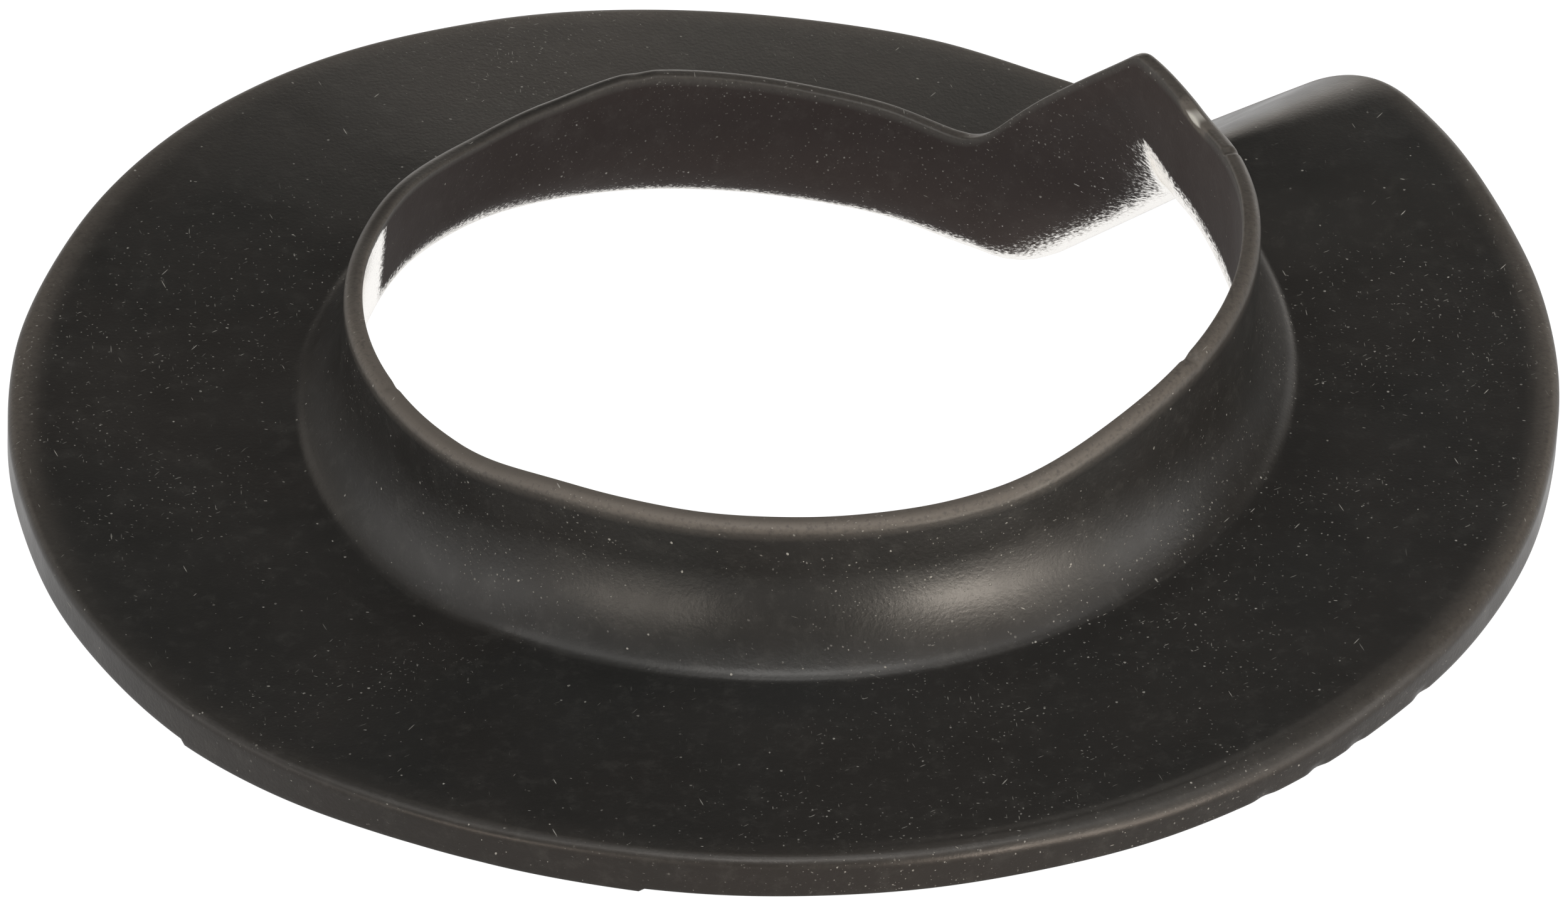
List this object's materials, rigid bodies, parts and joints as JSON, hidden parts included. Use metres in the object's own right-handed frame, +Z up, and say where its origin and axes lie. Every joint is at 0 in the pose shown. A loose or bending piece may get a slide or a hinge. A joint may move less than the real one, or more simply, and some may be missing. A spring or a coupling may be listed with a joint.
{
  "type": "coil spring insulator",
  "caption": "Helical rubber seat ring with a raised inner collar and a ramp step; cushions a coil spring's end and pilots its bore.",
  "frame": {"origin": "on the flange's axis, level with the lowest point of the underside, which is under the foot of the ramp", "axes": "+Z up the axis, towards the collar's rim and the spring; the ramp's crest line lies 41.5 degrees from +X towards +Y, and its foot counterclockwise from it"},
  "size_m": [0.1402, 0.1402, 0.0345],
  "materials": {
    "moulded_rubber": "satin black moulded rubber with a dry, slightly dusty skin"
  },
  "bodies": {
    "root": {"spring_insulator": "moulded_rubber"}
  },
  "joints": []
}
